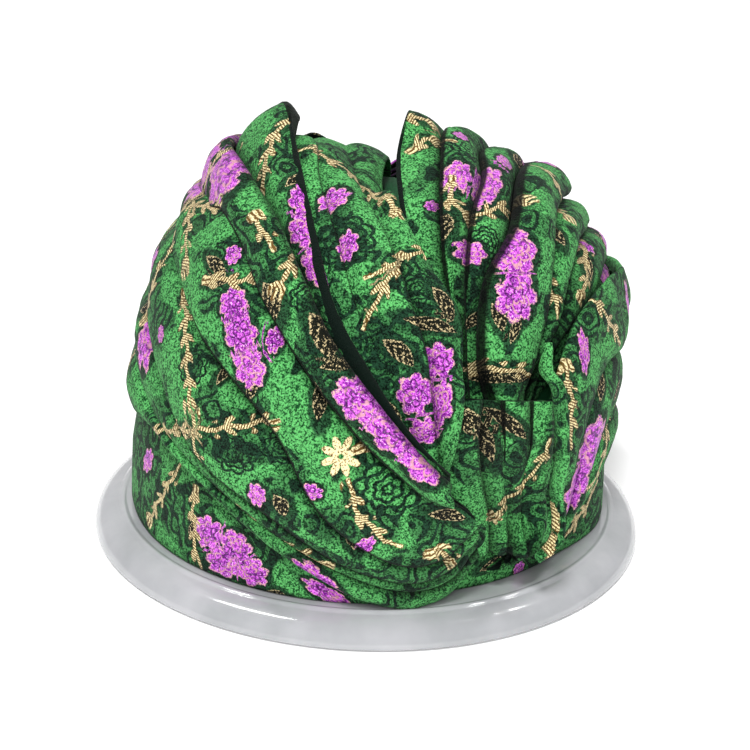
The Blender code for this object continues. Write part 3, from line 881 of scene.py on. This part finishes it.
RIGHT_WING_FOLDS = [
    Fold((0, 0), [(166, 44, 88), (150, 64, 89), (95, 80, 96), (30, 76, 94), (17, 62, 92),
                  (14, 48, 92), (17, 35, 90), (20, 20, 88)]),
    Fold((0, 0), [(170, 47, 91), (158, 68, 93), (70, 84, 110), (18, 77, 100), (11, 63, 97),
                  (11, 49, 95), (14, 36, 93), (17, 20, 89)], swell=(1.5, 0.5)),
    Fold((-3, -2), [(169, 42, 92), (140, 62, 97), (84, 76, 104), (38, 68, 103), (25, 56, 101),
                    (22, 46, 98), (22, 30, 94), (21, 18, 89)], swell=(3, 3)),
    Fold((-5, -3), [(168, 37, 93), (128, 55, 99), (88, 67, 100), (54, 62, 103), (35, 54, 103),
                    (27, 43, 100), (24, 29, 94), (25, 17, 88)], swell=(3, 3)),
    Fold((-5, -6), [(167, 32, 94), (122, 48, 100), (92, 57, 100), (68, 57, 102), (44, 48, 104),
                    (31, 40, 101), (27, 28, 95), (29, 16, 88)], swell=(3, 3)),
    Fold((4, 7), [(166, 27, 94), (118, 41, 101), (92, 49, 100), (68, 50, 102), (53, 45, 104),
                  (44, 35, 100), (38, 24, 93), (33, 15, 88)], swell=(3, 3)),
    Fold((4, 4), [(166, 22, 94), (116, 34, 100), (92, 40, 101), (70, 42, 103), (56, 37, 103),
                  (48, 29, 99), (42, 22, 93), (37, 14, 88)], swell=(3, 3)),
    Fold((4, 3), [(166, 17, 94), (114, 26, 98), (92, 32, 101), (78, 33, 101), (64, 31, 100),
                  (52, 27, 98), (45, 21, 92), (40, 13, 88)], swell=(3, 2)),
    Fold((0, 0), [(166, 12, 94), (112, 17, 95), (92, 21, 95), (78, 23, 95), (64, 23, 94),
                  (54, 20, 92), (47, 16, 90), (43, 12, 88)]),
]
RIGHT_WING_FIGURES = dict(
    blossoms=[
        (73, 73, 7, 6, 0), (38, 64, 18, 10, 45, 2), (48, 60, 26, 10, 32), (77, 63, 14, 7, 10, 3),
        (23, 60, 6, 5, 0, 1), (28, 47, 12, 9, -44), (38, 44, 18, 15, 70, 4),
        (35, 36, 18, 15, 70, 4), (72, 40, 10, 6, 90, 6), (84, 31, 18, 16, 60, 7),
    ],
    leaves=[
        (23, 54, 11, 8, 70, 2), (30, 33, 11, 5, -80, 4), (33, 30, 10, 4, 57, 4),
        (26, 34, 9, 4, 39, 3), (27, 22, 14, 5, -20), (33, 21, 12, 5, -10), (60, 45, 12, 5, 60, 5),
        (60, 66, 12, 5, 20, 3), (66, 36, 12, 5, 50, 6),
    ],
    sprays=[
        Spray([(60, 54), (53, 49), (51, 45), (49, 39), (48, 32)], 5),
        Spray([(33, 63), (30, 59), (30, 56), (33, 54)]),
        Spray([(33, 54), (38, 54), (46, 54), (54, 53)]),
        Spray([(40, 84), (58, 82), (70, 79)], 1),
        Spray([(34, 77), (50, 77), (57, 74)]),
        Spray([(16, 25), (24, 24), (30, 23), (36, 21)]),
        Spray([(90, 56), (80, 50), (72, 46)]),
        Spray([(86, 46), (76, 42), (68, 38), (58, 32)], 6),
    ],
    rings=[(62, 70, 16, 14, 0), (33, 48, 12, 12, 0)],
    close=[
        (60, 62, 22, 14, 0), (72, 38, 14, 18, 0), (26, 40, 8, 14, 0), (24, 58, 10, 8, 0),
        (28, 21, 28, 10, 0), (47, 26, 8, 12, 0),
    ],
    bare=[
        (27, 29, 12, 14, 0), (37, 50, 18, 7, 0), (18, 52, 10, 10, 0), (60, 50, 12, 12, 0),
        (60, 45, 10, 10, 0), (16, 72, 10, 16, 0),
    ],
)
right_wing = drape(
    "right_wing_cloth", RIGHT_WING_FOLDS, shares_of(250, fine_from=0.3), seed=3, turned=(0,),
    figures=with_more(RIGHT_WING_FIGURES, scattered(range(100, 170, 24), (28, 50), seed=4)))
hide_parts("right_wing")

# The right drape: the folds that sweep round the right side from the back, over the hem band, into
# the gather at the lower right, where they are sewn down. The flap at its upper edge lies over the
# lowest pleat of the wing.

RIGHT_FOLDS = [
    Fold((0, 0), [(166, 18, 96), (118, 23, 101), (90, 28, 106), (72, 31, 105), (54, 29, 105),
                  (44, 21, 104), (40, 11, 101), (41, 2, 98), (42, -8, 95), (39, -15, 95),
                  (34, -19, 96)]),
    Fold((4, 4), [(166, 8, 95), (118, 11, 96), (90, 14, 95), (72, 17, 98), (60, 17, 99),
                  (52, 9, 98), (52, 0, 95), (52, -10, 94), (46, -17, 95), (41, -18, 96),
                  (35, -20, 97)]),
    Fold((4, 4), [(166, -1, 95), (118, 0, 94), (90, 2, 91), (74, 5, 94), (63, 0, 94),
                  (60, -8, 94), (56, -14, 94), (50, -18, 95), (45, -20, 96), (40, -21, 97),
                  (34, -22, 97)]),
    Fold((0, 0), [(166, -11, 96), (118, -10, 95), (90, -10, 95), (77, -9, 95), (68, -13, 95),
                  (61, -18, 95), (54, -20, 95), (48, -21, 96), (42, -22, 97), (36, -23, 97),
                  (30, -24, 97)]),
]
RIGHT_FIGURES = dict(
    blossoms=[
        (50, 22, 16, 6, -100, 0), (57, 0, 22, 24, 60), (52, -8, 22, 17, 60), (84, 22, 18, 12, 80),
        (84, -3, 14, 12, 60, 2),
    ],
    leaves=[(60, 12, 12, 5, 60), (70, 8, 11, 5, 30, 1), (44, 6, 10, 4, 80)],
    sprays=[
        Spray([(58, 30), (60, 27), (63, 24), (67, 20)], 0),
        Spray([(70, 2), (66, -8), (60, -14), (52, -18)]),
        Spray([(44, 20), (45, 10), (44, 0)]),
    ],
    rings=[(75, 22, 14, 12, 0)],
    close=[(58, 14, 10, 16, 0), (44, 0, 6, 24, 0)],
    bare=[(66, 18, 14, 12, 0), (62, -14, 20, 8, 0)],
)
right_drape = drape(
    "right_drape_cloth", RIGHT_FOLDS, shares_of(260, fine_from=0.35), seed=5,
    figures=with_more(RIGHT_FIGURES, scattered(range(96, 170, 24), (6,), seed=6)))
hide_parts("right_drape")

# The fan panel: a short piece of the brocade gathered at the hem, whose narrow pleats spread
# upwards from there. The ends of the wing's pleats run in behind it, in the dark pocket above.

FAN_FOLDS = [
    Fold((0, 0), [(15, 18, 94), (13, 12, 96), (13, 5, 95), (16, -2, 94), (20, -9, 94),
                  (24, -18, 96)]),
    Fold((3, 2), [(22, 18, 102), (21, 10, 102), (23, 1, 98), (26, -8, 96), (28, -18, 97)]),
    Fold((-2, 3), [(28, 17, 104), (28, 9, 103), (29, 0, 99), (31, -9, 97), (31, -18, 98)]),
    Fold((-2, 2), [(34, 16, 104), (34, 8, 103), (34, -2, 98), (35, -10, 97), (34, -17, 98)]),
    Fold((0, 0), [(39, 15, 102), (39, 7, 100), (40, -4, 97), (40, -11, 96), (37, -16, 97)]),
]
FAN_FIGURES = dict(
    leaves=[(23, 11, 25, 6, -64), (28, 13, 20, 5, -42), (19, 14, 9, 4, -70)],
    stars=[(28, -9, 8, 8, 0)],
    sprays=[Spray([(37, 6), (36, 1), (34, -2), (31, -5), (28, -8)])],
    close=[(31, 5, 9, 18, 0), (19, 13, 8, 10, 0), (24, -13, 8, 10, 0)],
    bare=[(25, -3, 12, 18, 0), (34, 14, 12, 10, 0), (32, -12, 12, 10, 0)],
)
fan = drape("fan_panel_cloth", FAN_FOLDS, shares_of(65), seed=7, figures=FAN_FIGURES)
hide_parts("fan_panel")

# The centre panel: one broad, smooth fold of the brocade, laid from the back over the crown and
# down the middle. Its lower end is tucked in under the left drape.

CENTRE_FOLDS = [
    Fold((0, 0), [(-122, 38, 95), (-116, 54, 96), (-66, 67, 104), (-42, 61, 101), (-25, 49, 97),
                  (-14, 35, 96), (-4, 23, 96), (5, 13, 96), (11, 4, 97)]),
    Fold((2, 0), [(-142, 40, 94), (-142, 57, 95), (-112, 71, 97), (-50, 73, 104), (-28, 64, 103),
                  (-12, 50, 101), (-4, 36, 101), (3, 25, 101), (8, 14, 100), (12, 4, 99)]),
    Fold((0, 2), [(-164, 38, 91), (-163, 60, 91), (-135, 78, 91), (-30, 78, 92), (-9, 66, 97),
                  (3, 51, 102), (8, 38, 104), (11, 27, 104), (12, 15, 103), (13, 4, 100)]),
    Fold((0, 0), [(177, 38, 88), (175, 62, 87), (172, 82, 87), (2, 80, 87), (5, 67, 89),
                  (11, 54, 97), (17, 42, 102), (20, 33, 103), (18, 18, 103), (15, 4, 100)]),
]
CENTRE_FIGURES = dict(
    blossoms=[
        (-17, 60, 14, 9, 63), (-8, 49, 12, 8, -85), (14, 26, 12, 12, -90, 2), (9, 20, 14, 12, -90),
        (14, 18, 18, 7, -100, 2), (11, 13, 10, 10, -90),
    ],
    leaves=[(17, 37, 14, 6, -65), (13, 33, 20, 5, -15), (6, 28, 14, 6, -43), (5, 16, 14, 4, -60)],
    sprays=[
        Spray([(-46, 69), (-38, 71), (-30, 71), (-18, 71), (-7, 68), (3, 62), (8, 58)]),
        Spray([(14, 49), (10, 47), (7, 46), (4, 42), (1, 38), (-1, 34)]),
        Spray([(7, 46), (4, 44), (0, 43)]),
    ],
    rings=[(-9, 50, 22, 22, 0), (1, 28, 20, 18, 0), (11, 40, 15, 12, 0)],
    close=[(1, 28, 22, 26, 0), (10, 33, 18, 10, 0), (-10, 50, 18, 20, 0), (-16, 56, 14, 6, 30)],
    bare=[
        (5, 53, 20, 14, 0), (-22, 66, 24, 9, 0), (2, 71, 24, 8, -20), (-3, 42, 12, 10, 0),
        (4, 37, 10, 8, 0), (-16, 44, 8, 10, 0),
    ],
)
centre = drape("centre_panel_cloth", CENTRE_FOLDS, shares_of(225, fine_from=0.33), seed=9,
               figures=CENTRE_FIGURES)
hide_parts("centre_panel")

# The left drape: the pleats of the left lobe, in the brocade, swept from the back round the left
# side and across the middle to the lower right. The upper edge is turned over and stands up into
# the peak beside the notch, and the lower edge is sewn down along the hem band.

LEFT_FOLDS = [
    Fold((0, 0), [(-166, -10, 96), (-120, -6, 94), (-74, 0, 93), (-53, 0, 96), (-36, -5, 100),
                  (-20, -14, 103), (-4, -23, 105), (10, -27, 106), (19, -25, 105), (24, -16, 103)]),
    Fold((3, -3), [(-166, 1, 96), (-120, 5, 94), (-76, 12, 93), (-54, 4, 96), (-35, -3, 100),
                   (-20, -10, 103), (-4, -18, 105), (9, -22, 106), (18, -20, 105), (23, -13, 103)]),
    Fold((4, -6), [(-166, 11, 96), (-120, 16, 95), (-80, 24, 94), (-56, 16, 97), (-37, 3, 101),
                   (-20, -5, 103), (-5, -14, 105), (8, -18, 106), (17, -16, 105), (22, -9, 103)]),
    Fold((5, -7), [(-166, 21, 96), (-121, 31, 97), (-84, 40, 97), (-62, 36, 100), (-38, 25, 102),
                   (-18, 12, 103), (-8, -3, 104), (5, -12, 106), (15, -12, 105), (21, -5, 103)]),
    Fold((5, -5), [(-166, 30, 96), (-123, 42, 99), (-86, 49, 101), (-54, 50, 105), (-38, 45, 105),
                   (-25, 35, 104), (-12, 23, 103), (-1, 12, 103), (8, 4, 103), (15, 0, 102)]),
    Fold((6, 3), [(-166, 35, 96), (-127, 50, 102), (-90, 58, 106), (-54, 57, 108), (-32, 50, 106),
                  (-20, 41, 105), (-9, 28, 104), (1, 17, 104), (8, 9, 104), (14, 3, 103)]),
    Fold((0, 0), [(-166, 39, 94), (-133, 56, 102), (-87, 72, 116), (-38, 65, 110), (-18, 50, 106),
                  (-9, 36, 105), (-1, 25, 104), (6, 15, 104), (11, 9, 104), (15, 5, 103)]),
    Fold((0, 0), [(-168, 40, 91), (-137, 56, 98), (-84, 74, 110), (-45, 65, 105),
                  (-24, 50, 101), (-14, 36, 100), (-6, 25, 100), (2, 15, 100), (7, 9, 100),
                  (12, 5, 100)]),
]
LEFT_FIGURES = dict(
    blossoms=[
        (-62, 56, 29, 22, -29, 4), (-64, 19, 29, 14, -60, 1), (-54, 22, 7, 5, -58, 2),
        (-26, 56, 13, 8, -60), (-21, 50, 14, 11, -50, 5), (-15, 43, 15, 9, -54),
        (-39, 42, 8, 6, -60, 3), (-33, 33, 12, 11, -58, 3), (-29, 28, 14, 12, -50, 3),
        (-25, 22, 14, 12, -58, 3), (-21, 28, 10, 6, -80, 3), (-2, 19, 18, 14, -42, 4),
        (4, 14, 18, 14, -42, 4), (10, 9, 16, 13, -42, 4), (-21, -2, 9, 7, -90, 2),
        (-10, 1, 8, 6, 0, 3), (0, -9, 9, 5, 45), (-9, -20, 24, 8, -40, 0),
    ],
    leaves=[
        (-10, 30, 18, 8, -57, 4), (-6, 25, 14, 4, 8), (-10, 18, 14, 5, -82),
        (-23, 35, 14, 8, -60, 4), (-42, 39, 14, 5, -21, 3), (-40, 36, 11, 4, 19, 3),
        (-32, 20, 11, 4, 69, 2), (-24, 18, 8, 4, 60, 3), (15, -3, 13, 5, -8),
        (-16, -3, 9, 6, -63, 2), (-3, -8, 12, 5, -64, 2), (4, -15, 12, 3, -27, 1),
        (-30, -6, 12, 4, -40, 1), (-32, 60, 9, 4, 60, 5), (-60, 5, 12, 4, -60, 1),
    ],
    stars=[(-5, 8, 15, 15, 0, 3)],
    sprays=[
        Spray([(-63, 72), (-57, 67), (-52, 63), (-48, 61), (-44, 56)], 5),
        Spray([(-74, 47), (-62, 42), (-54, 36)], 3),
        Spray([(-74, 47), (-66, 48), (-56, 50)]),
        Spray([(-52, 31), (-47, 27), (-44, 23), (-41, 18), (-38, 11)], 2),
        Spray([(-52, 1), (-43, 5), (-37, 7), (-31, 9), (-25, 11), (-19, 13)]),
        Spray([(-37, 10), (-36, 4), (-34, -1), (-33, -4)], 2),
        Spray([(-3, 2), (-2, -1), (0, -4), (3, -7), (5, -8)], 3),
        Spray([(13, -11), (15, -11), (17, -14)]),
        Spray([(-35, 49), (-31, 47), (-28, 45)], 4),
        Spray([(-21, 44), (-21, 41), (-22, 37)], 4),
        Spray([(-42, 36), (-36, 37), (-30, 39)], 3),
        Spray([(-1, 10), (3, 11), (6, 9)], 3),
        Spray([(-26, -8), (-18, -12), (-8, -16)], 1),
    ],
    rings=[
        (4, 2, 26, 20, 10, 3), (-26, 5, 18, 14, 10, 2), (-17, 8, 14, 12, 10, 2),
        (-40, 19, 14, 14, 0, 2), (-14, 37, 12, 16, -60, 4),
    ],
    close=[
        (-6, -6, 20, 12, 0), (-8, -13, 40, 8, -20), (-12, 28, 10, 22, -30), (-26, 36, 10, 14, 0),
        (-60, 44, 10, 10, 0), (-68, 28, 10, 20, 0), (-24, 6, 36, 8, 10), (12, -4, 14, 14, 0),
        (-40, 19, 8, 14, 0), (-16, -5, 16, 8, -30), (14, -13, 14, 8, 0),
    ],
    bare=[
        (-27, 16, 14, 8, 0), (-29, -1, 22, 9, -20), (-17, 36, 9, 18, 0), (-42, 55, 14, 16, 0),
        (-75, 64, 20, 16, 0), (-49, 46, 12, 9, 0), (-72, 36, 9, 12, 0), (-14, 16, 9, 22, 0),
        (-54, 12, 14, 10, 0), (-48, 30, 8, 14, 0), (6, 3, 22, 14, 0), (-2, -10, 12, 4, 0),
    ],
)
left_drape = drape(
    "left_drape_cloth", LEFT_FOLDS, shares_of(330, fine_from=0.33, coarse=3.0), seed=11,
    turned=(6,), last_hem=False,
    figures=with_more(LEFT_FIGURES, scattered(range(-160, -84, 24), (4, 28, 50), seed=8)))
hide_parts("left_drape")

# The back panel: gathered cloth, in the brocade, over the seam where the drapes meet behind. It is
# sewn down at its top and along both sides.

BACK_FOLDS = [
    Fold((0, 0), [(148, -17, 99), (147, 0, 98), (147, 20, 98), (149, 31, 97), (155, 41, 94)]),
    Fold((3, 3), [(159, -19, 101), (158, 0, 101), (158, 20, 101), (160, 31, 99), (166, 42, 95)]),
    Fold((3, 3), [(172, -20, 102), (172, 0, 102), (172, 20, 102), (173, 32, 99), (176, 43, 95)]),
    Fold((-3, -3), [(188, -20, 102), (188, 0, 102), (188, 20, 102), (187, 32, 99),
                    (185, 43, 95)]),
    Fold((-3, -3), [(201, -19, 101), (202, 0, 101), (202, 20, 101), (200, 31, 99),
                    (194, 42, 95)]),
    Fold((0, 0), [(212, -17, 99), (213, 0, 98), (213, 20, 98), (211, 31, 97), (205, 41, 94)]),
]
back = drape("back_panel_cloth", BACK_FOLDS, shares_of(125), seed=13,
             figures=scattered(range(152, 216, 26), (-8, 16, 38), seed=10))
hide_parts("back_panel")

# The standing fold: a narrow tube of the brocade that stands on edge between the fan panel and the
# right drape, sewn down at both ends.

STANDING_STATIONS = [(40, 26, 103), (38, 20, 104), (38, 11, 103), (39, 1, 100), (40, -6, 98),
                     (39, -12, 98), (35, -16, 99)]
STANDING_SPRAYS = [Spray([(37, 24), (36, 18), (36, 10), (37, 0), (39, -8), (36, -16)])]


def standing_roll():
    """The fold's open tube, laid along its stations on what is there already."""
    half_width, half_rise, middle_rise, clear, wall = 1.5, 2.9, 2.6, 0.9, 0.9
    first_angle, last_angle = math.radians(-55), math.radians(235)
    shares = shares_of(75)
    line = smooth_line(STANDING_STATIONS, shares)
    way = line / lengths(line)[:, None]
    across = np.cross(way, np.gradient(line, axis=0))
    across /= lengths(across)[:, None]
    size = np.interp(shares, [0, 0.12, 0.88, 1], [0.55, 1, 1, 0.55])
    beneath = np.max([cover_under(line + across * side) for side in (-half_width, 0, half_width)],
                     axis=0)
    beneath = softened(widened(beneath[:, None], 2), 3)[:, 0]
    angles = np.linspace(first_angle, last_angle, 22)
    rows = []
    for k in range(len(shares)):
        middle = beneath[k] + clear + middle_rise * size[k]
        rows.append([way[k] * (middle + half_rise * size[k] * math.sin(a))
                     + across[k] * half_width * size[k] * math.cos(a) for a in angles])
    surface = np.array(rows)
    way = surface / lengths(surface)[..., None]
    values = woven_values(way, np.zeros(len(angles), dtype=int), sprays=STANDING_SPRAYS)
    stem_only = 0.8
    values["vine"][values["vine"][..., 2] > stem_only] = EMPTY
    return cloth_sheet("standing_fold_cloth", surface, wall, values)


standing = standing_roll()
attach(standing, "root")
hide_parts("standing_fold")

# The floor: a large matt white board that the stand rests on, faintly lit from within so that it
# is as white as the surround.

bpy.ops.mesh.primitive_plane_add(size=6.0, location=(0, 0, 0))
floor = bpy.context.object
floor.name = "floor"
white, tree, shader = new_material("white_floor", {
    "Base Color": (0.92, 0.92, 0.92, 1), "Roughness": 0.9,
    "Emission Color": (1, 1, 1, 1), "Emission Strength": 0.12})
floor.data.materials.append(white)

# The lights: a white surround that is brighter behind the turban, a broad ceiling light from above
# in front, a weak light at the front, and two thin tubes whose streaks show on the stand's rim.

world = bpy.data.worlds.new("studio")
bpy.context.scene.world = world
world.use_nodes = True
tree = world.node_tree
direction = add_node(tree, "ShaderNodeSeparateXYZ")
tree.links.new(add_node(tree, "ShaderNodeTexCoord").outputs["Generated"], direction.inputs[0])
behind = add_node(tree, "ShaderNodeMapRange", interpolation_type="SMOOTHSTEP")
for socket, value in (("From Min", 0.0), ("From Max", 0.9), ("To Min", 0.2), ("To Max", 0.72)):
    behind.inputs[socket].default_value = value
tree.links.new(direction.outputs["Y"], behind.inputs["Value"])
tree.links.new(behind.outputs["Result"], tree.nodes["Background"].inputs["Strength"])
tree.nodes["Background"].inputs["Color"].default_value = (1, 1, 1, 1)

ceiling = bpy.data.objects.new("ceiling_light", bpy.data.lights.new("ceiling_light", "SUN"))
ceiling.data.energy = 2.35
ceiling.data.angle = math.radians(12)
ceiling.rotation_euler = (math.radians(34), math.radians(-8), 0)
ceiling.visible_glossy = False
bpy.context.scene.collection.objects.link(ceiling)


def soft_light(name, place, target, width, height, power):
    """A rectangular light that faces its target; places and sizes in metres, power in watts."""
    data = bpy.data.lights.new(name, "AREA")
    data.shape = "RECTANGLE"
    data.size = width
    data.size_y = height
    data.energy = power
    lamp = bpy.data.objects.new(name, data)
    bpy.context.scene.collection.objects.link(lamp)
    lamp.location = place
    lamp.rotation_euler = (Vector(target) - Vector(place)).to_track_quat("-Z", "Y").to_euler()
    return lamp


front = soft_light("front_light", (0.03, -0.55, 0.36), (0.0, -0.09, 0.09), 0.22, 0.22, 2.0)
front.visible_glossy = False
left_tube = soft_light("left_tube", (-0.40, 0.01, 0.93), (-0.04, -0.09, 0.011), 0.34, 0.02, 2.5)
right_tube = soft_light("right_tube", (0.48, 0.07, 0.89), (0.045, -0.085, 0.011), 0.24, 0.02, 2.0)

# Each tube lies along the line from one of its ends to the other, with its face to the rim
FRONT_OF_RIM = Vector((0, -0.09, 0))
for lamp, start, end in ((left_tube, (-0.474, 0.195, 0.859), (-0.246, 0.009, 0.97)),
                         (right_tube, (0.372, 0.088, 0.924), (0.5, 0.235, 0.832))):
    axis = (Vector(end) - Vector(start)).normalized()
    ahead = (FRONT_OF_RIM - lamp.location).normalized()
    width_way = axis.cross(ahead).normalized()
    lamp.rotation_euler = Matrix((axis, width_way, axis.cross(width_way))).transposed().to_euler()

# The camera: a long lens 0.8 m from the turban, at the photograph's height above the level and
# with its slight roll.

TILT = math.radians(22.5)
ROLL = math.radians(-2.03)
DISTANCE = 0.8
AIM = Vector((0.00147, 0, 0.062))
back_way = Vector((0, -math.cos(TILT), math.sin(TILT)))
right_way = Vector((1, 0, 0))
up_way = Vector((0, math.sin(TILT), math.cos(TILT)))
side = right_way * math.cos(ROLL) - up_way * math.sin(ROLL)
top = right_way * math.sin(ROLL) + up_way * math.cos(ROLL)
place = AIM + back_way * DISTANCE
lens = bpy.data.cameras.new("camera")
lens.lens = 98.3
lens.sensor_width = 36
camera = bpy.data.objects.new("camera", lens)
bpy.context.scene.collection.objects.link(camera)
camera.matrix_world = Matrix(((side.x, top.x, back_way.x, place.x),
                              (side.y, top.y, back_way.y, place.y),
                              (side.z, top.z, back_way.z, place.z), (0, 0, 0, 1)))
bpy.context.scene.camera = camera
bpy.context.scene.view_settings.view_transform = "Standard"
